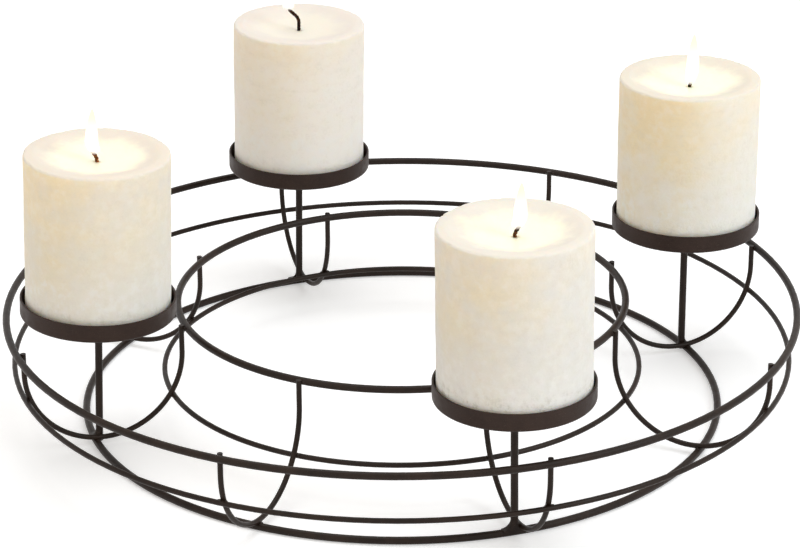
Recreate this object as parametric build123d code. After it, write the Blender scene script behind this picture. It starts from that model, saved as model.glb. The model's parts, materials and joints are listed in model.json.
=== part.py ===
from build123d import *
import math
import os

# Advent candle holder: a welded wire wreath frame with four cups and four pillar candles.
# Sizes are in millimetres and angles in degrees. The holder stands on zero height, centred on the Z axis.

# Wire
thick_wire = 3.66          # diameter of the top rings, the base ring and the candle posts
thin_wire = 2.64           # diameter of the ribs and the mid rings
weld_set_down = 0.3        # how deep crossing wires are pressed into each other by the weld

# Rings and ribs
rib_count = 8
outer_diameter = 400.0     # over the outer top ring
rib_bend_radius = 39.9     # centreline of the U bend
outer_arm_length = 11.1    # straight outer arm above the bend
inner_arm_length = 13.9    # straight inner arm above the bend
rib_tip_rise = 1.5         # rib ends above the centre of the top rings
base_ring_offset = 5.0     # base ring further out than the middle of the trough
outer_mid_angle = 19.8     # outer mid ring below level, seen from the bend centre
inner_mid_angle = 33.7     # inner mid ring below level, seen from the bend centre

# Candles, one at each quarter of the wreath
candle_headings = (-90.0, 0.0, 90.0, 180.0)
post_sides = (-1, 1, 1, -1)    # which side of its rib each post stands on
post_insets = (0.4, 2.6, 2.6, 1.8)         # posts further in than the base ring, each as it was welded
post_leans = (-0.5, 0.0, 0.9, 1.9)         # posts out of plumb, with what they carry
post_lean_heading = -20.0      # the way that a post with a positive lean leans
candle_diameter = 70.0
candle_swells = (2.0, 1.6, 0.0, 0.6)       # wider than that, as each was poured
candle_heights = (83.2, 80.8, 80.7, 81.7)  # poured and cut by hand
candle_edge_radius = 1.2   # softened top edge
candle_foot_radius = 1.5   # rounded bottom edge
pool_margin = 5.0          # wax left standing round the melt pool
pool_depths = (5.1, 5.3, 4.1, 4.4)         # at the wick, as far as each has burnt down

# Wicks, in the same order as the candles
wick_diameter = 2.0
wick_clearance = 0.05      # between wick and wax
wick_bend_radius = 5.0
wick_stems = (0.4, 0.2, 4.5, 0.4)          # straight stretch above the wax
wick_leans = (35.0, 32.0, 48.0, 38.0)      # how far the bend turns from upright
wick_ends = (2.5, 0.6, 5.5, 2.5)           # straight stretch after the bend
wick_headings = (-20.0, -20.0, 160.0, 160.0)

# Candle cups
cup_lift = 14.1            # underside of the cups above the centre of the inner top ring
cup_wall = 1.0
cup_height = 9.0
cup_inner_corner = 0.4     # inside radius between floor and rim
cup_lip_share = 0.3        # rounding of the rim's edge, as a share of the wall
candle_gap = 2.0           # between a candle of the plain diameter and the rim of its cup

# Welds
foot_weld_leg = 4.5        # along the base ring and up the post
foot_weld_width_share = 0.9    # of the thick wire
cup_weld_leg = 1.6

# Sizes that follow
thick_radius = thick_wire / 2
thin_radius = thin_wire / 2
thick_reach = thick_radius + thin_radius - weld_set_down
thin_reach = thin_wire - weld_set_down
outer_ring_radius = outer_diameter / 2 - thick_radius
trough_radius = outer_ring_radius - thick_reach - rib_bend_radius
inner_ring_radius = trough_radius - rib_bend_radius - thick_reach
base_ring_radius = trough_radius + base_ring_offset
base_ring_height = thick_radius
bend_height = base_ring_height + math.sqrt((rib_bend_radius + thick_reach) ** 2 - base_ring_offset ** 2)
outer_ring_height = bend_height + outer_arm_length - rib_tip_rise
inner_ring_height = bend_height + inner_arm_length - rib_tip_rise
mid_ring_reach = rib_bend_radius + thin_reach
outer_mid_turn = math.radians(outer_mid_angle)
inner_mid_turn = math.radians(inner_mid_angle)
post_length = inner_ring_height + cup_lift - base_ring_height
candle_radius = candle_diameter / 2
cup_inner_radius = candle_radius + candle_gap
cup_outer_radius = cup_inner_radius + cup_wall
wick_radius = wick_diameter / 2
wick_hole_radius = wick_radius + wick_clearance
overrun = thick_wire       # how far a cutting shape runs past what it cuts
half_turn = 180.0
full_turn = 2 * half_turn

upright = (Align.CENTER, Align.CENTER, Align.MIN)
hanging = (Align.CENTER, Align.CENTER, Align.MAX)


def wire_ring(radius, height, wire):
    return Pos(0, 0, height) * Torus(radius, wire / 2)


def bent_wire(wire_radius, bend_radius, turn, place):
    # Starts at place's +X side and turns towards its +Y side
    return place * Torus(bend_radius, wire_radius, major_angle=turn, align=None)


def straight_wire(wire_radius, length, place):
    return place * Cylinder(wire_radius, length, align=upright)


rings = {
    "outer_top_ring": wire_ring(outer_ring_radius, outer_ring_height, thick_wire),
    "inner_top_ring": wire_ring(inner_ring_radius, inner_ring_height, thick_wire),
    "base_ring": wire_ring(base_ring_radius, base_ring_height, thick_wire),
    "outer_mid_ring": wire_ring(
        trough_radius + mid_ring_reach * math.cos(outer_mid_turn),
        bend_height - mid_ring_reach * math.sin(outer_mid_turn),
        thin_wire,
    ),
    "inner_mid_ring": wire_ring(
        trough_radius - mid_ring_reach * math.cos(inner_mid_turn),
        bend_height - mid_ring_reach * math.sin(inner_mid_turn),
        thin_wire,
    ),
}


def rib_wire():
    # A U in the upright plane through the wreath's axis, before the welds press the rings into it
    bend_place = Plane(origin=(trough_radius, 0, bend_height), x_dir=(1, 0, 0), z_dir=(0, 1, 0))
    wire = bent_wire(thin_radius, rib_bend_radius, half_turn, bend_place)
    outer_place = Pos(trough_radius + rib_bend_radius, 0, bend_height)
    inner_place = Pos(trough_radius - rib_bend_radius, 0, bend_height)
    wire += straight_wire(thin_radius, outer_arm_length, outer_place)
    wire += straight_wire(thin_radius, inner_arm_length, inner_place)
    return wire


def welded_rib(wire):
    for ring in rings.values():
        wire -= ring
    return wire


def post_foot(side, inset, lean, lean_turn):
    # Beside the rib that lies along +X, in the corner between it and the base ring, with Z up the post
    foot = Pos(base_ring_radius - inset, side * thick_reach, base_ring_height)
    return foot * Rot(0, 0, lean_turn) * Rot(0, lean, 0) * Rot(0, 0, -lean_turn)


def candle_post(wire, foot):
    # The foot is coped over the base ring and pressed against the rib
    return straight_wire(thick_radius, post_length, foot) - wire - rings["base_ring"]


def foot_weld(wire, side, foot):
    # Weld metal over the base ring, hollow-faced up to the post and ending at the rib
    flare_radius = thick_radius + foot_weld_leg
    crown = foot * Pos(0, 0, thick_radius)
    flare = crown * Cylinder(flare_radius, foot_weld_leg, align=upright)
    flare += crown * Cylinder(flare_radius, thick_radius, align=hanging)
    flare -= crown * Pos(0, 0, foot_weld_leg) * Torus(flare_radius, foot_weld_leg)
    width = thick_wire * foot_weld_width_share
    length = thick_reach + flare_radius
    ring_top = Pos(base_ring_radius, side * length / 2, base_ring_height)
    flare &= ring_top * Box(width, length, thick_radius + foot_weld_leg + overrun, align=upright)
    post_wire = straight_wire(thick_radius, overrun + post_length, foot * Pos(0, 0, -overrun))
    return flare - post_wire - wire - rings["base_ring"]


def cup_weld():
    # A hollow-faced ring of weld metal round the post, under the cup
    flare_radius = thick_radius + cup_weld_leg
    fillet_ring = Cylinder(flare_radius, cup_weld_leg, align=hanging)
    fillet_ring -= Pos(0, 0, -cup_weld_leg) * Torus(flare_radius, cup_weld_leg)
    return fillet_ring - Cylinder(thick_radius, cup_weld_leg, align=hanging)


def candle_cup():
    shell = Cylinder(cup_outer_radius, cup_height, align=upright)
    shell = fillet(shell.edges().sort_by(Axis.Z)[0], cup_inner_corner + cup_wall)
    hollow = Pos(0, 0, cup_wall) * Cylinder(cup_inner_radius, cup_height + overrun, align=upright)
    hollow = fillet(hollow.edges().sort_by(Axis.Z)[0], cup_inner_corner)
    cup = shell - hollow
    rim_edges = cup.faces().sort_by(Axis.Z)[-1].edges()
    return fillet(rim_edges, cup_wall * cup_lip_share)


def candle_wax(diameter, height, pool_depth):
    wax_radius = diameter / 2
    wax = Cylinder(wax_radius, height, align=upright)
    wax = fillet(wax.edges().group_by(Axis.Z)[-1], candle_edge_radius)
    wax = fillet(wax.edges().group_by(Axis.Z)[0], candle_foot_radius)
    pool_radius = wax_radius - pool_margin
    dish_radius = (pool_radius ** 2 + pool_depth ** 2) / (2 * pool_depth)
    wax -= Pos(0, 0, height - pool_depth + dish_radius) * Sphere(dish_radius)
    return wax - Cylinder(wick_hole_radius, height + overrun, align=upright)


def wick(bend_start, lean, end):
    # Straight up through the wax, then bent over towards +X
    turn = math.radians(lean)
    bend_place = Plane(origin=(wick_bend_radius, 0, bend_start), x_dir=(-1, 0, 0), z_dir=(0, 1, 0))
    end_place = Plane(
        origin=(
            wick_bend_radius * (1 - math.cos(turn)),
            0,
            bend_start + wick_bend_radius * math.sin(turn),
        ),
        z_dir=(math.sin(turn), 0, math.cos(turn)),
    )
    cord = straight_wire(wick_radius, bend_start, Pos(0, 0, 0))
    cord += bent_wire(wick_radius, wick_bend_radius, lean, bend_place)
    cord += straight_wire(wick_radius, end, end_place)
    return cord


def turned(shape, heading):
    return Rot(0, 0, heading) * shape


plain_rib = rib_wire()
rib = welded_rib(plain_rib)
cup = candle_cup()
cup_fillet = cup_weld()

nodes = dict(rings)
for index in range(rib_count):
    nodes[f"rib_{index + 1}"] = turned(rib, index * full_turn / rib_count)
foot_beads = []
cup_fillets = []
for index, heading in enumerate(candle_headings):
    number = index + 1
    side = post_sides[index]
    foot = post_foot(side, post_insets[index], post_leans[index], post_lean_heading - heading)
    under_cup = foot * Pos(0, 0, post_length)
    in_cup = under_cup * Pos(0, 0, cup_wall)
    diameter = candle_diameter + candle_swells[index]
    height = candle_heights[index]
    depth = pool_depths[index]
    cord = wick(height - depth + wick_stems[index], wick_leans[index], wick_ends[index])
    cord = turned(cord, wick_headings[index] - heading)
    nodes[f"candle_post_{number}"] = turned(candle_post(plain_rib, foot), heading)
    nodes[f"candle_cup_{number}"] = turned(under_cup * cup, heading)
    nodes[f"candle_wax_{number}"] = turned(in_cup * candle_wax(diameter, height, depth), heading)
    nodes[f"wick_{number}"] = turned(in_cup * cord, heading)
    foot_beads.append(turned(foot_weld(plain_rib, side, foot), heading))
    cup_fillets.append(turned(under_cup * cup_fillet, heading))
nodes["post_foot_welds"] = Compound(children=foot_beads)
nodes["cup_welds"] = Compound(children=cup_fillets)

os.makedirs("parts", exist_ok=True)
for name, shape in nodes.items():
    export_step(shape, f"parts/{name}.step")
    print(name, round(shape.volume, 1))
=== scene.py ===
import json
import math

import bmesh
import bpy
from mathutils import Matrix, Quaternion, Vector, noise


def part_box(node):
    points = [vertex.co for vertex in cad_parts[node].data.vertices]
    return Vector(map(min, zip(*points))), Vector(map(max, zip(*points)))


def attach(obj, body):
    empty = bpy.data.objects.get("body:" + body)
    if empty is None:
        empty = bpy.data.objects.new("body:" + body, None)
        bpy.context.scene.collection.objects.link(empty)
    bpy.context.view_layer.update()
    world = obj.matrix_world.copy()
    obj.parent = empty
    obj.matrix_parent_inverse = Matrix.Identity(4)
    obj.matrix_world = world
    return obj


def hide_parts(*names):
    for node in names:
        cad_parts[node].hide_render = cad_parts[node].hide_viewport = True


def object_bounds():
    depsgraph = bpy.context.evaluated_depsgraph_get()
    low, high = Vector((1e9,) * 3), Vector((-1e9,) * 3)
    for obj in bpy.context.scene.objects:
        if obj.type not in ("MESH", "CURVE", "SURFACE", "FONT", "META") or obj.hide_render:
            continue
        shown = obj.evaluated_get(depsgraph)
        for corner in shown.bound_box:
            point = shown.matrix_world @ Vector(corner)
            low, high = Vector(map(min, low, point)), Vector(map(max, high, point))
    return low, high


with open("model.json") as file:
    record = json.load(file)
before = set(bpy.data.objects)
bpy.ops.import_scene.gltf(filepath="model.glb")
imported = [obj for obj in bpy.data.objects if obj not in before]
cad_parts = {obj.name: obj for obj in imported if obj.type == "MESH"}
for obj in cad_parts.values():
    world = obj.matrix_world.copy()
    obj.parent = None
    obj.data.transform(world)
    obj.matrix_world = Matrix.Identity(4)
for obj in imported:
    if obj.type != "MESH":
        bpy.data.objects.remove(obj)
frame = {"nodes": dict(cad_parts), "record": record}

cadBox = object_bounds()
mm = 0.001
fullTurn = 2 * math.pi
quarterTurn = 90              # degrees
black = (0.0, 0.0, 0.0)
white = (1.0, 1.0, 1.0)
noiseMiddle = 0.5             # what a noise texture comes to on average
scene = bpy.context.scene
scene.view_settings.view_transform = "Standard"


# Sizes that the frame gives

def ringSize(node):
    # wire is the radius of the wire itself
    low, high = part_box(node)
    wire = (high.z - low.z) / 2
    return {"radius": high.x - wire, "height": (low.z + high.z) / 2, "wire": wire}


def candleSize(number):
    # place is where the candle stands in its cup, with Z up the candle
    seat = next(mount for mount in frame["record"]["mounts"] if mount["name"] == f"candle_seat_{number}")
    turn = Vector((0, 0, 1)).rotation_difference(Vector(seat["axis"]))
    place = Matrix.LocRotScale(Vector(seat["pos_m"]), turn, None)
    wax = [place.inverted() @ vert.co for vert in frame["nodes"][f"candle_wax_{number}"].data.vertices]
    radius = max(point.xy.length for point in wax)
    return {"place": place, "radius": radius, "height": max(point.z for point in wax)}


def ribSize(node):
    # the rib that lies along +X
    low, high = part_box(node)
    wire = (high.y - low.y) / 2
    bend = (high.x - low.x) / 2 - wire
    return {"wire": wire, "bend": bend, "middle": (low.x + high.x) / 2, "bendHeight": low.z + wire + bend}


# Node helpers

def setInput(tree, socket, value):
    # value is a plain value, or a socket to link
    if isinstance(value, bpy.types.NodeSocket):
        tree.links.new(value, socket)
    elif socket.type == "RGBA" and len(value) == 3:
        socket.default_value = (*value, 1.0)
    else:
        socket.default_value = value


def addNode(tree, kind, inputs=(), **settings):
    node = tree.nodes.new(kind)
    for name, value in settings.items():
        setattr(node, name, value)
    for name, value in dict(inputs).items():
        setInput(tree, node.inputs[name], value)
    return node


def calc(tree, operation, first, second=0.0):
    return addNode(tree, "ShaderNodeMath", {0: first, 1: second}, operation=operation).outputs[0]


def times(tree, first, *others):
    for other in others:
        first = calc(tree, "MULTIPLY", first, other)
    return first


def weighted(tree, *terms):
    # sum of (value, weight) pairs
    total = 0.0
    for value, weight in terms:
        total = calc(tree, "ADD", times(tree, value, weight), total)
    return total


def between(tree, share, low, high):
    # low where the share is 0, high where it is 1
    return calc(tree, "ADD", times(tree, share, high - low), low)


def fade(tree, value, limits):
    # 0 at the first limit and 1 at the second, smooth between
    inputs = {"Value": value, "From Min": limits[0], "From Max": limits[1]}
    return addNode(tree, "ShaderNodeMapRange", inputs, interpolation_type="SMOOTHSTEP").outputs["Result"]


def mixColour(tree, share, first, second):
    # sockets 6 and 7 and output 2 are the ones for colours
    return addNode(tree, "ShaderNodeMix", {0: share, 6: first, 7: second}, data_type="RGBA").outputs[2]


def cloud(tree, vector, size, detail, roughness):
    # noise whose lumps are about this many metres across
    inputs = {"Vector": vector, "Scale": 1 / size, "Detail": detail, "Roughness": roughness}
    return addNode(tree, "ShaderNodeTexNoise", inputs).outputs["Fac"]


def newGroup(name, inputs, outputs):
    group = bpy.data.node_groups.new(name, "ShaderNodeTree")
    for socket in inputs:
        group.interface.new_socket(socket, in_out="INPUT", socket_type="NodeSocketVector")
    for socket in outputs:
        group.interface.new_socket(socket, in_out="OUTPUT", socket_type="NodeSocketFloat")
    return group, group.nodes.new("NodeGroupInput").outputs, group.nodes.new("NodeGroupOutput").inputs


def useGroup(tree, group, **inputs):
    node = tree.nodes.new("ShaderNodeGroup")
    node.node_tree = group
    for name, value in inputs.items():
        setInput(tree, node.inputs[name], value)
    return node.outputs


def newMaterial(name, constants):
    # constants are set on the shader's own sockets, by name
    material = bpy.data.materials.new(name)
    material.use_nodes = True
    tree = material.node_tree
    shader = tree.nodes["Principled BSDF"]
    for socket, value in constants.items():
        setInput(tree, shader.inputs[socket], value)
    place = tree.nodes.new("ShaderNodeTexCoord").outputs["Object"]
    return material, tree, shader, place


def addBump(tree, shader, height, distance):
    bump = addNode(tree, "ShaderNodeBump", {"Height": height, "Distance": distance, "Strength": 1.0})
    tree.links.new(bump.outputs["Normal"], shader.inputs["Normal"])


# Paint: dark brown satin powder coat on wire, sheet and weld metal

paintSkin = {
    "broad": (22 * mm, 2.0, 0.5),      # size, detail and roughness of each noise
    "mottle": (4 * mm, 4.0, 0.6),
    "peel": (0.7 * mm, 1.0, 0.5),      # the orange peel of the cured powder
    "fleck": (0.35 * mm, 0.0, 0.5),
    "broadShare": 0.55,
    "peelShare": 0.4,
    "toneLimits": (0.32, 0.68),
    "roughLimits": (0.3, 0.75),
    "fleckLimits": (0.68, 0.78),
    "shader": {"Specular IOR Level": 0.18},
}


def paintSkinGroup(look):
    group, given, made = newGroup("paintSkin", ["Vector"], ["Tone", "Rough", "Fleck", "Height"])
    names = ("broad", "mottle", "peel", "fleck")
    noises = {name: cloud(group, given["Vector"], *look[name]) for name in names}
    broadShare, peelShare = look["broadShare"], look["peelShare"]
    tone = weighted(group, (noises["broad"], broadShare), (noises["mottle"], 1 - broadShare))
    height = weighted(group, (noises["mottle"], 1 - peelShare), (noises["peel"], peelShare))
    group.links.new(fade(group, tone, look["toneLimits"]), made["Tone"])
    group.links.new(fade(group, noises["mottle"], look["roughLimits"]), made["Rough"])
    group.links.new(fade(group, noises["fleck"], look["fleckLimits"]), made["Fleck"])
    group.links.new(height, made["Height"])
    return group


paintGroup = paintSkinGroup(paintSkin)

paints = {
    "wirePaint": {"dark": (0.012, 0.0065, 0.004), "light": (0.026, 0.0155, 0.011),
                  "fleck": (0.06, 0.042, 0.033), "fleckShare": 0.5, "rough": (0.36, 0.52), "bump": 0.03 * mm},
    "cupPaint": {"dark": (0.024, 0.013, 0.0095), "light": (0.037, 0.0215, 0.0165),
                 "fleck": (0.065, 0.048, 0.038), "fleckShare": 0.5, "rough": (0.42, 0.58), "bump": 0.04 * mm},
    "weldPaint": {"dark": (0.011, 0.006, 0.004), "light": (0.028, 0.017, 0.012),
                  "fleck": (0.07, 0.045, 0.035), "fleckShare": 0.6, "rough": (0.34, 0.6), "bump": 0.08 * mm},
}


def paintMaterial(name, look):
    material, tree, shader, place = newMaterial(name, paintSkin["shader"])
    skin = useGroup(tree, paintGroup, Vector=place)
    colour = mixColour(tree, skin["Tone"], look["dark"], look["light"])
    colour = mixColour(tree, times(tree, skin["Fleck"], look["fleckShare"]), colour, look["fleck"])
    tree.links.new(colour, shader.inputs["Base Color"])
    tree.links.new(between(tree, skin["Rough"], *look["rough"]), shader.inputs["Roughness"])
    addBump(tree, shader, skin["Height"], look["bump"])
    return material


paintMaterials = {name: paintMaterial(name, look) for name, look in paints.items()}
print("paint ready:", ", ".join(paintMaterials))


# Mesh helpers

def dress(piece, *materials, smooth=True):
    piece.data.materials.clear()
    for material in materials:
        piece.data.materials.append(material)
    if smooth:
        piece.data.shade_smooth()
    return piece


def newPiece(name, mesh, body, materials, place=Matrix(), replaced=()):
    piece = bpy.data.objects.new(name, mesh)
    piece.matrix_world = place
    scene.collection.objects.link(piece)
    dress(piece, *materials)
    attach(piece, body)
    if replaced:
        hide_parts(*replaced)
    return piece


def addLoft(form, rows, ends=False, material=0):
    # quads between rows of points, each row a closed loop; with ends the first and last rows are closed off,
    # and without them they are joined
    loops = [[form.verts.new(point) for point in row] for row in rows]
    pairs = list(zip(loops, loops[1:])) if ends else list(zip(loops, loops[1:] + loops[:1]))
    faces = []
    for lower, upper in pairs:
        for index in range(len(lower)):
            following = (index + 1) % len(lower)
            faces.append(form.faces.new((lower[index], lower[following], upper[following], upper[index])))
    if ends:
        faces.append(form.faces.new(reversed(loops[0])))
        faces.append(form.faces.new(loops[-1]))
    for face in faces:
        face.material_index = material
    bmesh.ops.recalc_face_normals(form, faces=faces)


def finishMesh(name, form):
    mesh = bpy.data.meshes.new(name)
    form.to_mesh(mesh)
    form.free()
    return mesh


def arc(centre, radius, start, end, count):
    # points of a profile, (distance from the axis, height), angles in degrees, without the last one
    points = []
    for index in range(count):
        angle = math.radians(start + (end - start) * index / count)
        points.append((centre[0] + radius * math.cos(angle), centre[1] + radius * math.sin(angle)))
    return points


def run(start, end, count):
    # evenly spaced points of a profile, without the last one
    return [(start[0] + (end[0] - start[0]) * index / count, start[1] + (end[1] - start[1]) * index / count)
            for index in range(count)]


def ramp(value, limits):
    # 0 at the first limit and 1 at the second
    return max(0.0, min(1.0, (value - limits[0]) / (limits[1] - limits[0])))


def smoothRamp(value, limits):
    # the same, with soft ends
    ease = ramp(value, limits)
    return ease * ease * (3 - 2 * ease)


seedStep = Vector((7.3, 3.1, 5.7))      # moves the noise on for each seed


def waver(point, seed, size):
    # size is (how far, how wide)
    return size[0] * noise.noise(Vector(point) / size[1] + seedStep * seed)


# Wire frame: the CAD wires and cups with their paint

ringNames = ["outer_top_ring", "inner_top_ring", "base_ring", "outer_mid_ring", "inner_mid_ring"]
ribCount = 8
ribNames = [f"rib_{number}" for number in range(1, ribCount + 1)]
candleNumbers = (1, 2, 3, 4)
rings = {name: ringSize(name) for name in ringNames}
rib = ribSize("rib_1")

for name in ringNames + ribNames + [f"candle_post_{number}" for number in candleNumbers]:
    dress(frame["nodes"][name], paintMaterials["wirePaint"], smooth=False)
for number in candleNumbers:
    dress(frame["nodes"][f"candle_cup_{number}"], paintMaterials["cupPaint"], smooth=False)
for name in ("post_foot_welds", "cup_welds"):
    dress(frame["nodes"][name], paintMaterials["weldPaint"], smooth=False)
print("wire frame painted:", len(ringNames), "rings,", len(ribNames), "ribs")


# Candle wax: ivory, clouded, with painted warm shade on one side, frosty and pitted at the foot with a
# painted lift there against the cup's shade, glowing at the top

waxForm = {
    "segments": 240,
    "footRows": 8,
    "bendRows": 6,
    "sideRows": 48,
    "rimRows": 4,
    "poolRows": 18,
    "holeRows": 10,
    "edgeRadius": 1.2 * mm,
    "footRadius": 1.5 * mm,
    "poolMargin": 5.0 * mm,
    "poolDepths": {1: 5.1 * mm, 2: 5.3 * mm, 3: 4.1 * mm, 4: 4.4 * mm},
    "wickHole": 1.05 * mm,
    "sideShares": (0.75, 1.0),         # of the radius: where the skin starts to wander
    "topShares": (0.90, 0.98),         # of the height: where the top starts to wander
    "swell": (0.28 * mm, 30 * mm),     # how far and how wide
    "lump": (0.10 * mm, 7 * mm),
    "rimWave": (0.22 * mm, 26 * mm),
    "poolRipple": (0.16 * mm, 9 * mm),
    "chip": (0.9 * mm, 2.0 * mm),      # crumbled bits out of the top edge
    "chipReach": 1.6 * mm,
    "seedSteps": {"swell": 0, "lump": 4, "rimWave": 8, "poolRipple": 12, "chip": 16},
}


def waxProfile(form, radius, height, depth):
    foot, edge, hole = form["footRadius"], form["edgeRadius"], form["wickHole"]
    pool = radius - form["poolMargin"]
    points = run((hole, 0), (radius - foot, 0), form["footRows"])
    points += arc((radius - foot, foot), foot, -quarterTurn, 0, form["bendRows"])
    points += run((radius, foot), (radius, height - edge), form["sideRows"])
    points += arc((radius - edge, height - edge), edge, 0, quarterTurn, form["bendRows"])
    points += run((radius - edge, height), (pool, height), form["rimRows"])
    dish = (pool ** 2 + depth ** 2) / (2 * depth)
    for index in range(form["poolRows"] + 1):
        distance = pool + (hole - pool) * index / form["poolRows"]
        drop = math.sqrt(dish ** 2 - distance ** 2) - (dish - depth)
        points.append((distance, height - drop))
    return points + run(points[-1], (hole, 0), form["holeRows"])[1:]


def waxMesh(name, form, radius, height, number):
    def wander(point, kind):
        return waver(point, number + form["seedSteps"][kind], form[kind])

    profile = waxProfile(form, radius, height, form["poolDepths"][number])
    rows = []
    for turn in range(form["segments"]):
        angle = fullTurn * turn / form["segments"]
        row = []
        for distance, level in profile:
            point = Vector((distance * math.cos(angle), distance * math.sin(angle), level))
            side = ramp(distance / radius, form["sideShares"])
            top = ramp(level / height, form["topShares"]) if distance > form["wickHole"] else 0.0
            push = side * (wander(point, "swell") + wander(point, "lump"))
            lift = top * side * wander(point, "rimWave") + top * (1 - side) * wander(point, "poolRipple")
            corner = math.hypot(radius - distance, height - level)
            chip = max(0.0, wander(point, "chip")) * ramp(corner, (form["chipReach"], 0.0))
            wide = 1 + (push - chip) / distance
            row.append((point.x * wide, point.y * wide, point.z + lift - chip))
        rows.append(row)
    wax = bmesh.new()
    addLoft(wax, rows)
    return finishMesh(name, wax)


waxClouds = {
    "broad": (34 * mm, 2.0, 0.5),      # size, detail and roughness of each noise
    "patch": (12 * mm, 4.0, 0.6),
    "blotch": (4.5 * mm, 4.0, 0.65),
    "grain": (1.2 * mm, 3.0, 0.6),
    "pit": (4.4 * mm, 6.0, 0.72),
    "streak": (3.5 * mm, 3.0, 0.6),
    "band": (3.0 * mm, 3.0, 0.6),
    "streakDraw": (1.0, 1.0, 0.18),    # streaks run up and down
    "bandDraw": (0.22, 0.22, 1.0),     # bands run round
    "warmMix": (0.6, 0.4),             # of broad and patch
    "frostMix": (0.4, 0.6),            # of patch and blotch
    "dullMix": (0.6, 0.4),             # of blotch and grain
    "bumpMix": (0.45, 0.2, 0.35),      # of blotch, grain and pit
    "warmLimits": (0.36, 0.66),
    "frostLimits": (0.46, 0.64),
    "dullLimits": (0.50, 0.34),
    "streakLimits": (0.50, 0.70),
    "bandLimits": (0.50, 0.70),
    "pitLimits": (0.51, 0.34),
}


def waxCloudGroup(look):
    outputs = ["Warm", "Frost", "Dull", "Streak", "Band", "Pit", "Patch", "Height"]
    group, given, made = newGroup("waxClouds", ["Vector", "Drift"], outputs)
    moved = addNode(group, "ShaderNodeVectorMath", {0: given["Vector"], 1: given["Drift"]}, operation="ADD")
    place = moved.outputs[0]
    names = ("broad", "patch", "blotch", "grain", "pit")
    broad, patch, blotch, grain, pit = (cloud(group, place, *look[name]) for name in names)
    for name in ("streak", "band"):
        drawn = addNode(group, "ShaderNodeMapping", {"Vector": place, "Scale": look[f"{name}Draw"]})
        drawnCloud = cloud(group, drawn.outputs[0], *look[name])
        group.links.new(fade(group, drawnCloud, look[f"{name}Limits"]), made[name.title()])
    warm = weighted(group, *zip((broad, patch), look["warmMix"]))
    frost = weighted(group, *zip((patch, blotch), look["frostMix"]))
    dull = weighted(group, *zip((blotch, grain), look["dullMix"]))
    for name, value in (("warm", warm), ("frost", frost), ("dull", dull), ("pit", pit)):
        group.links.new(fade(group, value, look[f"{name}Limits"]), made[name.title()])
    group.links.new(patch, made["Patch"])
    group.links.new(weighted(group, *zip((blotch, grain, pit), look["bumpMix"])), made["Height"])
    return group


waxGroup = waxCloudGroup(waxClouds)

waxLook = {
    "cream": (0.85, 0.76, 0.56),
    "yellow": (0.86, 0.75, 0.52),
    "frost": (0.89, 0.88, 0.85),
    "dull": (0.71, 0.67, 0.60),
    "pit": (0.56, 0.53, 0.47),
    "pool": (0.92, 0.905, 0.78),
    "poolGlow": (0.20, 0.18, 0.10),
    "sideGlow": (0.13, 0.075, 0.018),
    "warmShares": (0.10, 0.75),        # of the height: where the warm clouds come in
    "footShares": (0.50, 0.08),        # where the frost and a painted lift against the cup's shade come in
    "soleShares": (0.22, 0.07),        # where the pits come in
    "glowShares": (0.15, 1.0),         # where the flame shines through the side
    "glowEven": 0.45,                  # share of that glow that the clouds don't change
    "warmShadeHeading": 195,              # degrees, the side turned away from the key light, where the yellow goes on as painted warm shade over the wax's own yellow
    "yellowShares": (0.1, 1.0),        # of the radius, towards that side
    "frostRange": (0.36, 0.50),        # strength everywhere, and more at the foot, where it is partly a painted lift against the cup's shade
    "paleShare": 0.35,                 # and evenly at the foot, a painted lift against the shade from the cup
    "yellowFoot": 0.6,                 # share of the yellow that is left at the foot
    "yellowPatches": (0.35, 1.5),      # and between and in the warm clouds
    "dullShare": 0.22,
    "streakShare": 0.45,
    "bandShare": 0.14,
    "pitRange": (0.03, 0.60),
    "edgeLimits": (1.5 * mm, 0.4 * mm),    # below the top
    "innerLimits": (1.2 * mm, 2.8 * mm),   # in from the side
    "innerShares": (0.4, 0.6),         # of the height
    "poolLimits": (0.82, 0.45),        # shares of the radius
    "poolWander": 0.45,
    "rough": (0.66, 0.34),             # on the side, in the melt pool
    "bump": 0.4 * mm,
    "soleBump": 2.0,                   # so much more of it among the pits
    "shader": {"Subsurface Weight": 0.4, "Subsurface Radius": (1.0, 0.7, 0.45), "Subsurface Scale": 8 * mm,
               "Emission Strength": 1.0, "Specular IOR Level": 0.35},
}

# how the four candles differ; drift moves the clouds
# each candle's yellow share is partly the wax's own yellow and partly painted warm shade on the side away
# from the key light
waxLooks = {
    1: {"ivory": (0.815, 0.80, 0.77), "rim": (0.865, 0.825, 0.765), "drift": (0.00, 0.00, 0.00),
        "warmth": 0.36, "yellowedAndShaded": 0.40, "glow": 0.5, "melt": 1.0, "pitted": 1.3},
    2: {"ivory": (0.87, 0.85, 0.79), "rim": (0.855, 0.80, 0.715), "drift": (0.31, 0.12, 0.05),
        "warmth": 0.50, "yellowedAndShaded": 0.90, "glow": 0.75, "melt": 1.0, "pitted": 0.5},
    3: {"ivory": (0.915, 0.87, 0.82), "rim": (0.86, 0.805, 0.76), "drift": (0.17, 0.43, 0.22),
        "warmth": 0.28, "yellowedAndShaded": 0.25, "glow": 0.4, "melt": 0.25, "pitted": 0.35},
    4: {"ivory": (0.83, 0.80, 0.735), "rim": (0.865, 0.795, 0.715), "drift": (0.52, 0.25, 0.41),
        "warmth": 0.55, "yellowedAndShaded": 0.55, "glow": 0.8, "melt": 0.9, "pitted": 0.7},
}


def shares(limits, size):
    return [limit * size for limit in limits]


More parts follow.
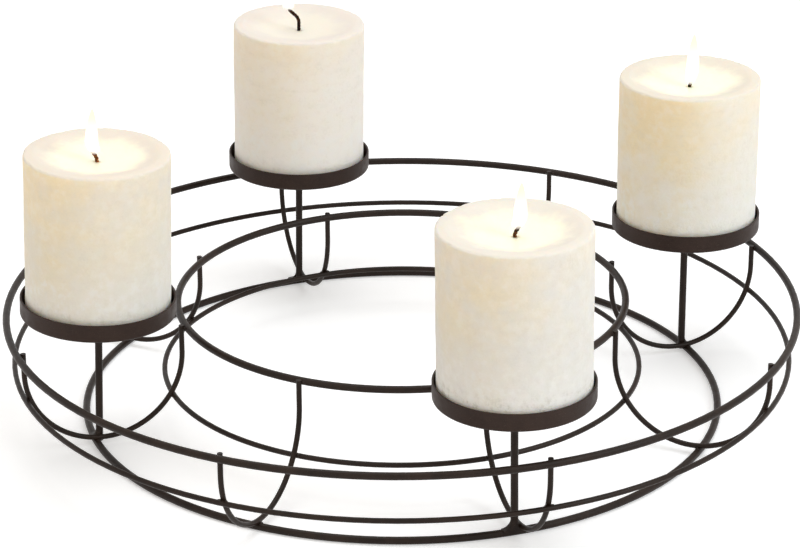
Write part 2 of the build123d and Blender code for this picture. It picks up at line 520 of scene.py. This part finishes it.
def waxMasks(tree, look, own, place, clouds, radius, height):
    # where each part of the look shows, by height, by distance from the wick and by heading
    axes = addNode(tree, "ShaderNodeSeparateXYZ", {"Vector": place}).outputs
    level = axes["Z"]
    flat = addNode(tree, "ShaderNodeCombineXYZ", {"X": axes["X"], "Y": axes["Y"]}).outputs[0]
    distance = addNode(tree, "ShaderNodeVectorMath", {0: flat}, operation="LENGTH").outputs["Value"]
    masks = {}
    for name in ("warm", "foot", "sole", "glow"):
        masks[name] = fade(tree, level, shares(look[f"{name}Shares"], height))
    # painted warm shade: the yellow is laid on the side away from the key light, as strong as each candle's
    # yellow share
    heading = math.radians(look["warmShadeHeading"])
    sideways = weighted(tree, (axes["X"], math.cos(heading)), (axes["Y"], math.sin(heading)))
    yellow = times(tree, fade(tree, sideways, shares(look["yellowShares"], radius)), own["yellowedAndShaded"])
    yellow = times(tree, yellow, between(tree, masks["warm"], look["yellowFoot"], 1.0))
    masks["yellow"] = times(tree, yellow, between(tree, clouds["Warm"], *look["yellowPatches"]))
    # the top: its edge by height, the rest by distance from the side
    edge = fade(tree, level, [height - limit for limit in look["edgeLimits"]])
    inner = fade(tree, distance, [radius - limit for limit in look["innerLimits"]])
    inner = times(tree, inner, fade(tree, level, shares(look["innerShares"], height)))
    masks["top"] = calc(tree, "MAXIMUM", edge, inner)
    wander = times(tree, calc(tree, "SUBTRACT", clouds["Patch"], noiseMiddle), look["poolWander"] * radius)
    spread = calc(tree, "ADD", distance, wander)
    masks["pool"] = times(tree, inner, fade(tree, spread, shares(look["poolLimits"], radius)), own["melt"])
    return masks


def waxColour(tree, look, own, clouds, masks):
    # each tint goes over the ones before it
    warm, foot, sole = masks["warm"], masks["foot"], masks["sole"]
    # frost bloom, stronger at the foot, where it also works as a painted lift against the cup's shade
    least, more = look["frostRange"]
    frost = times(tree, clouds["Frost"], between(tree, foot, least, least + more))
    least, more = look["pitRange"]
    pits = times(tree, clouds["Pit"], between(tree, sole, least, least + more * own["pitted"]))
    colour = own["ivory"]
    for share, tint in (
            # the wax's yellow, laid on the shaded side as painted warm shade
            (masks["yellow"], look["yellow"]),
            (times(tree, clouds["Warm"], warm, own["warmth"]), look["cream"]),
            (times(tree, clouds["Dull"], look["dullShare"]), look["dull"]),
            (times(tree, clouds["Band"], warm, look["bandShare"]), look["dull"]),
            # painted light at the foot: an even pale lift and extra frost against the shade from the cup,
            # over the real frost bloom
            (times(tree, foot, look["paleShare"]), look["frost"]),
            (frost, look["frost"]),
            (times(tree, clouds["Streak"], foot, look["streakShare"]), look["frost"]),
            (pits, look["pit"]),
            (masks["top"], own["rim"]),
            (masks["pool"], look["pool"])):
        colour = mixColour(tree, share, colour, tint)
    return colour


def waxGlow(tree, look, own, clouds, masks):
    # the flame shines through the side and lights the melt pool
    shine = times(tree, between(tree, clouds["Warm"], look["glowEven"], 1.0), masks["glow"], own["glow"])
    side = mixColour(tree, shine, black, look["sideGlow"])
    return mixColour(tree, masks["top"], side, mixColour(tree, masks["pool"], black, look["poolGlow"]))


def waxMaterial(name, look, own, radius, height):
    material, tree, shader, place = newMaterial(name, look["shader"])
    clouds = useGroup(tree, waxGroup, Vector=place, Drift=own["drift"])
    masks = waxMasks(tree, look, own, place, clouds, radius, height)
    tree.links.new(waxColour(tree, look, own, clouds, masks), shader.inputs["Base Color"])
    tree.links.new(waxGlow(tree, look, own, clouds, masks), shader.inputs["Emission Color"])
    tree.links.new(between(tree, masks["pool"], *look["rough"]), shader.inputs["Roughness"])
    crust = between(tree, masks["sole"], 1.0, 1.0 + look["soleBump"])
    addBump(tree, shader, times(tree, clouds["Height"], crust), look["bump"])
    return material


candles = {}
for number in candleNumbers:
    size = candleSize(number)
    candles[number] = size
    material = waxMaterial(f"wax{number}", waxLook, waxLooks[number], size["radius"], size["height"])
    mesh = waxMesh(f"waxMesh{number}", waxForm, size["radius"], size["height"], number)
    newPiece(f"pillar_candle_{number}", mesh, f"candle_{number}", [material], size["place"],
             [f"candle_wax_{number}"])
print("candles modelled:", len(candles))


# Wicks: braided cotton, bent over and charred

wickForm = {
    "radius": 1.0 * mm,
    "bend": 5.0 * mm,
    "strands": 3,
    "strandSides": 8,
    "strandShare": 0.52,      # of the wick's radius
    "lay": 5.0 * mm,          # length of one full turn of the braid
    "step": 0.4 * mm,
    "taper": 2.2 * mm,        # burnt thin towards the tip
    "tipShare": 0.45,
}

# stem is straight, then the bend turns by lean, and end is straight again; angles in degrees
wickShapes = {
    1: {"stem": 0.4 * mm, "lean": 35, "end": 2.5 * mm, "heading": -20},
    2: {"stem": 0.2 * mm, "lean": 32, "end": 0.6 * mm, "heading": -20},
    3: {"stem": 4.5 * mm, "lean": 48, "end": 5.5 * mm, "heading": 160},
    4: {"stem": 0.4 * mm, "lean": 38, "end": 2.5 * mm, "heading": 160},
}


def wickLine(form, shape, rise):
    # points and directions along the wick, from the candle's foot to the tip
    lean = math.radians(shape["lean"])
    heading = math.radians(shape["heading"])
    side = Vector((math.cos(heading), math.sin(heading), 0))
    up = Vector((0, 0, 1))
    bend = form["bend"]
    length = rise + bend * lean + shape["end"]
    count = round(length / form["step"])
    line = []
    for index in range(count + 1):
        along = length * index / count
        turn = max(0.0, min(lean, (along - rise) / bend))
        point = up * min(along, rise) + side * bend * (1 - math.cos(turn)) + up * bend * math.sin(turn)
        point += (side * math.sin(turn) + up * math.cos(turn)) * max(0.0, along - rise - bend * lean)
        outward = side * math.cos(turn) - up * math.sin(turn)
        line.append((point, outward, along, length - along))
    return line, side.cross(up)


def wickMesh(name, form, shape, rise):
    line, across = wickLine(form, shape, rise)
    strandRadius = form["radius"] * form["strandShare"]
    offset = form["radius"] - strandRadius
    sides = form["strandSides"]
    braid = bmesh.new()
    for strand in range(form["strands"]):
        rows = []
        for point, outward, along, left in line:
            turn = fullTurn * (along / form["lay"] + strand / form["strands"])
            thin = form["tipShare"] + (1 - form["tipShare"]) * math.sqrt(ramp(left, (0.0, form["taper"])))
            centre = point + (outward * math.cos(turn) + across * math.sin(turn)) * offset * thin
            angles = [fullTurn * index / sides for index in range(sides)]
            thick = strandRadius * thin
            rows.append([centre + (outward * math.cos(angle) + across * math.sin(angle)) * thick
                         for angle in angles])
        addLoft(braid, rows, ends=True)
    return finishMesh(name, braid)


charLook = {
    "fibre": (0.35 * mm, 4.0, 0.7),    # size, detail and roughness of each noise
    "burnt": (1.8 * mm, 3.0, 0.6),
    "charLimits": (0.38, 0.62),
    "footLimits": (-1.9 * mm, -3.1 * mm),      # charred below this, counted from the start of the bend
    "emberLimits": (-2.0 * mm, 1.0 * mm),      # glowing above this, counted the same way
    "bump": 0.12 * mm,
    "shader": {"Roughness": 0.9, "Emission Strength": 1.0, "Specular IOR Level": 0.2},
}

# each wick's cotton colour is partly painted flame light: brown cotton, warmed and brightened as if lit by
# the flame around it
wickColours = {
    1: {"flameLitCotton": (0.24, 0.085, 0.022), "char": (0.035, 0.014, 0.007), "ember": (0.06, 0.014, 0.002)},
    2: {"flameLitCotton": (0.12, 0.055, 0.022), "char": (0.020, 0.010, 0.006), "ember": (0.02, 0.005, 0.001)},
    3: {"flameLitCotton": (0.045, 0.014, 0.007), "char": (0.012, 0.006, 0.004), "ember": (0.010, 0.002, 0.000)},
    4: {"flameLitCotton": (0.36, 0.125, 0.030), "char": (0.085, 0.028, 0.009), "ember": (0.08, 0.020, 0.003)},
}


def charGroup(look):
    group, given, made = newGroup("charredCotton", ["Vector"], ["Char", "Height"])
    burnt = cloud(group, given["Vector"], *look["burnt"])
    group.links.new(fade(group, burnt, look["charLimits"]), made["Char"])
    group.links.new(cloud(group, given["Vector"], *look["fibre"]), made["Height"])
    return group


charredCotton = charGroup(charLook)


def wickMaterial(name, look, colours, rise):
    material, tree, shader, place = newMaterial(name, look["shader"])
    burnt = useGroup(tree, charredCotton, Vector=place)
    level = addNode(tree, "ShaderNodeSeparateXYZ", {"Vector": place}).outputs["Z"]
    foot = fade(tree, level, [rise + limit for limit in look["footLimits"]])
    char = calc(tree, "MAXIMUM", burnt["Char"], foot)
    # the cotton colour, with painted flame light in it, under the char
    colour = mixColour(tree, char, colours["flameLitCotton"], colours["char"])
    hot = fade(tree, level, [rise + limit for limit in look["emberLimits"]])
    ember = mixColour(tree, times(tree, calc(tree, "SUBTRACT", 1.0, char), hot), black, colours["ember"])
    tree.links.new(colour, shader.inputs["Base Color"])
    tree.links.new(ember, shader.inputs["Emission Color"])
    addBump(tree, shader, burnt["Height"], look["bump"])
    return material


for number, shape in wickShapes.items():
    candle = candles[number]
    rise = candle["height"] - waxForm["poolDepths"][number] + shape["stem"]
    material = wickMaterial(f"wickCotton{number}", charLook, wickColours[number], rise)
    mesh = wickMesh(f"wickMesh{number}", wickForm, shape, rise)
    newPiece(f"braided_wick_{number}", mesh, f"candle_{number}", [material], candle["place"],
             [f"wick_{number}"])
print("wicks braided:", len(wickShapes))


# Flames: looks only, each rides on its candle

flameForm = {
    "rows": 40,
    "sides": 24,
    "crowd": 1.25,            # rows lie closer together at the foot
    "swell": 0.42,            # powers of the outline: low is blunt, high is drawn out
    "draw": 0.85,
    "followShare": 0.35,      # of the height, over which the flame comes in line with the wick's tip
}

# lift is from the pool to the foot, sway is sideways at the tip, clear is a share of the wick's height
flameShapes = {
    1: {"height": 25.0 * mm, "width": 6.4 * mm, "lift": 1.4 * mm, "sway": 0.8 * mm, "clear": 0.70},
    2: {"height": 27.6 * mm, "width": 6.6 * mm, "lift": 1.0 * mm, "sway": 0.5 * mm, "clear": 0.15},
    3: {"height": 25.4 * mm, "width": 6.4 * mm, "lift": 2.4 * mm, "sway": -0.6 * mm, "clear": 0.95},
    4: {"height": 25.8 * mm, "width": 6.4 * mm, "lift": 1.4 * mm, "sway": -0.6 * mm, "clear": 0.65},
}

# wide and tall are shares of the flame's size, solid is how much each layer hides
flameLooks = {
    "flameHeart": {"wide": 0.80, "tall": 0.90, "foot": (1.0, 0.96, 0.86), "tip": (1.0, 0.88, 0.60),
                   "tipShares": (0.55, 1.0), "solid": 0.95, "strength": 1.35},
    "flameVeil": {"wide": 1.0, "tall": 1.0, "foot": (1.0, 0.90, 0.66), "tip": (1.0, 0.55, 0.16),
                  "tipShares": (0.45, 1.0), "solid": 0.16, "strength": 1.3},
}

flameShader = {"Base Color": black, "Roughness": 1.0, "Specular IOR Level": 0.0}
flicker = {"noise": (6 * mm, 2.0, 0.5), "reach": 3.0 * mm, "fadeIn": 3.5 * mm}


def flameRows(form, shape, look, lean):
    # lean is how far the wick's tip carries the flame sideways
    peak = form["swell"] / (form["swell"] + form["draw"])
    most = peak ** form["swell"] * (1 - peak) ** form["draw"]
    height = shape["height"] * look["tall"]
    width = shape["width"] * look["wide"]
    rows = []
    for index in range(1, form["rows"]):
        share = (index / form["rows"]) ** form["crowd"]
        wide = share ** form["swell"] * (1 - share) ** form["draw"] / most * width / 2
        drift = lean * smoothRamp(share, (0.0, form["followShare"])) + shape["sway"] * share ** 2
        angles = [fullTurn * side / form["sides"] for side in range(form["sides"])]
        level = height * share
        rows.append([(drift + wide * math.cos(angle), wide * math.sin(angle), level) for angle in angles])
    return rows


def flameMaterial(name, look, height, clear):
    # clear is how far up the flame is see-through, so that the wick shows
    constants = {**flameShader, "Emission Strength": look["strength"]}
    material, tree, shader, place = newMaterial(name, constants)
    level = addNode(tree, "ShaderNodeSeparateXYZ", {"Vector": place}).outputs["Z"]
    dance = calc(tree, "SUBTRACT", cloud(tree, place, *flicker["noise"]), noiseMiddle)
    wander = calc(tree, "ADD", level, times(tree, dance, flicker["reach"]))
    tip = fade(tree, wander, shares(look["tipShares"], height))
    colour = mixColour(tree, tip, look["foot"], look["tip"])
    solid = times(tree, fade(tree, wander, (clear, clear + flicker["fadeIn"])), look["solid"])
    tree.links.new(colour, shader.inputs["Emission Color"])
    tree.links.new(solid, shader.inputs["Alpha"])
    return material


for number, shape in flameShapes.items():
    candle = candles[number]
    wick = wickShapes[number]
    lean = math.radians(wick["lean"])
    bend = wickForm["bend"]
    tipLean = bend * (1 - math.cos(lean)) + wick["end"] * math.sin(lean)
    wickTop = wick["stem"] + bend * math.sin(lean) + wick["end"] * math.cos(lean) - shape["lift"]
    materials = []
    flame = bmesh.new()
    for index, (name, look) in enumerate(flameLooks.items()):
        height = shape["height"] * look["tall"]
        materials.append(flameMaterial(f"{name}{number}", look, height, wickTop * shape["clear"]))
        addLoft(flame, flameRows(flameForm, shape, look, tipLean), ends=True, material=index)
    lift = candle["height"] - waxForm["poolDepths"][number] + shape["lift"]
    place = candle["place"] @ Matrix.Translation((0, 0, lift))
    place = place @ Matrix.Rotation(math.radians(wick["heading"]), 4, "Z")
    newPiece(f"flame_{number}", finishMesh(f"flameMesh{number}", flame), f"candle_{number}", materials, place)
print("flames lit:", len(flameShapes))


# Weld beads where each rib crosses each ring

beadForm = {
    "size": (1.25 * mm, 1.0 * mm, 1.0 * mm),   # along the ring, outward and up
    "sides": (-1, 1),         # of the rib, along the ring
    "apart": 1.55 * mm,       # from the rib's middle to each bead
    "rounds": 2,
    "rough": (0.22 * mm, 1.3 * mm),
}


def crossing(rib, ring):
    # centres of the rib's wire and of the ring's wire where they cross, as (distance out, height)
    ringPoint = Vector((ring["radius"], ring["height"]))
    bendCentre = Vector((rib["middle"], rib["bendHeight"]))
    away = ringPoint - bendCentre
    if away.y > 0:
        return Vector((rib["middle"] + math.copysign(rib["bend"], away.x), ring["height"])), ringPoint
    return bendCentre + away.normalized() * rib["bend"], ringPoint


def beadMesh(form):
    beads = bmesh.new()
    seed = 0
    for turn in range(len(ribNames)):
        heading = fullTurn * turn / len(ribNames)
        out = Vector((math.cos(heading), math.sin(heading), 0))
        along = Vector((-math.sin(heading), math.cos(heading), 0))
        for ring in rings.values():
            ribPoint, ringPoint = crossing(rib, ring)
            touch = ribPoint + (ringPoint - ribPoint) * rib["wire"] / (rib["wire"] + ring["wire"])
            for side in form["sides"]:
                seed += 1
                centre = out * touch.x + Vector((0, 0, touch.y)) + along * side * form["apart"]
                made = bmesh.ops.create_icosphere(beads, subdivisions=form["rounds"], radius=1.0)
                for vert in made["verts"]:
                    point = (along * vert.co.x * form["size"][0] + out * vert.co.y * form["size"][1]
                             + Vector((0, 0, vert.co.z * form["size"][2])))
                    swell = 1 + waver(point, seed, form["rough"]) / point.length
                    vert.co = centre + point * swell
    return finishMesh("crossingBeads", beads)


newPiece("crossing_welds", beadMesh(beadForm), "frame", [paintMaterials["weldPaint"]])
print("weld beads:", len(beadForm["sides"]) * len(ribNames) * len(rings))


# Floor, light and camera

floorLook = {
    "size": 12.0,             # metres across
    "lift": 0.36,             # glow that is seen and mirrored, but lights nothing
    "farLift": 1.0,           # white where the lamps don't reach
    "farLimits": (0.9, 2.4),  # from the middle
    "shader": {"Base Color": (0.865, 0.885, 0.93), "Roughness": 0.7, "Emission Color": white,
               "Specular IOR Level": 0.2},
}

# places and sizes in metres, power in watts
studio = {
    "sky": (1.0, 0.93, 0.82),
    "skyStrength": 0.55,
    "key": {"place": (1.9, -2.2, 2.0), "size": 1.8, "power": 42, "colour": (0.90, 0.97, 1.0)},
    "fill": {"place": (-2.4, -1.6, 1.4), "size": 1.6, "power": 10, "colour": (1.0, 0.86, 0.70)},
    "top": {"place": (0.2, 0.4, 2.6), "size": 2.2, "power": 24, "colour": white},
}


def seenDirectly(tree):
    # 1 for the camera and for what shows in or through another surface
    rays = tree.nodes.new("ShaderNodeLightPath").outputs
    mirrored = calc(tree, "MAXIMUM", rays["Is Glossy Ray"], rays["Is Transmission Ray"])
    return calc(tree, "MAXIMUM", rays["Is Camera Ray"], mirrored)


def addFloor(look):
    half = look["size"] / 2
    mesh = bpy.data.meshes.new("floor")
    corners = [(-half, -half, 0), (half, -half, 0), (half, half, 0), (-half, half, 0)]
    mesh.from_pydata(corners, [], [(0, 1, 2, 3)])
    floor = bpy.data.objects.new("floor", mesh)
    floor.location.z = cadBox[0].z
    scene.collection.objects.link(floor)
    material, tree, shader, place = newMaterial("paleFloor", look["shader"])
    distance = addNode(tree, "ShaderNodeVectorMath", {0: place}, operation="LENGTH").outputs["Value"]
    lift = between(tree, fade(tree, distance, look["farLimits"]), look["lift"], look["farLift"])
    tree.links.new(times(tree, seenDirectly(tree), lift), shader.inputs["Emission Strength"])
    mesh.materials.append(material)


def addSky(look):
    world = bpy.data.worlds.new("studioSky")
    scene.world = world
    world.use_nodes = True
    tree = world.node_tree
    sky = tree.nodes["Background"]
    setInput(tree, sky.inputs["Color"], look["sky"])
    setInput(tree, sky.inputs["Strength"], look["skyStrength"])
    backdrop = addNode(tree, "ShaderNodeBackground", {"Color": white, "Strength": 1.0})
    shown = {0: seenDirectly(tree), 1: sky.outputs[0], 2: backdrop.outputs[0]}
    mixed = addNode(tree, "ShaderNodeMixShader", shown)
    tree.links.new(mixed.outputs[0], tree.nodes["World Output"].inputs["Surface"])


def addSoftbox(name, look):
    lamp = bpy.data.lights.new(name, "AREA")
    lamp.size = look["size"]
    lamp.energy = look["power"]
    lamp.color = look["colour"]
    softbox = bpy.data.objects.new(name, lamp)
    softbox.location = look["place"]
    softbox.rotation_mode = "QUATERNION"
    softbox.rotation_quaternion = (-Vector(look["place"])).to_track_quat("-Z", "Y")
    scene.collection.objects.link(softbox)


cameraLook = {
    "place": (-0.4952, -1.3584, 0.6773),
    "heading": 70.0,          # degrees from +X, over the floor
    "down": 22.84,
    "roll": -0.26,
    "lens": 140.46,           # millimetres, like the sensor
    "sensor": 36.0,
}


def addCamera(look):
    heading, down = math.radians(look["heading"]), math.radians(look["down"])
    ahead = Vector((math.cos(heading) * math.cos(down), math.sin(heading) * math.cos(down), -math.sin(down)))
    lens = bpy.data.cameras.new("camera")
    lens.lens = look["lens"]
    lens.sensor_width = look["sensor"]
    camera = bpy.data.objects.new("camera", lens)
    camera.location = look["place"]
    camera.rotation_mode = "QUATERNION"
    roll = Quaternion((0, 0, 1), math.radians(look["roll"]))
    camera.rotation_quaternion = ahead.to_track_quat("-Z", "Y") @ roll
    scene.collection.objects.link(camera)
    scene.camera = camera


addFloor(floorLook)
addSky(studio)
for name in ("key", "fill", "top"):
    addSoftbox(name, studio[name])
addCamera(cameraLook)
print("studio ready")
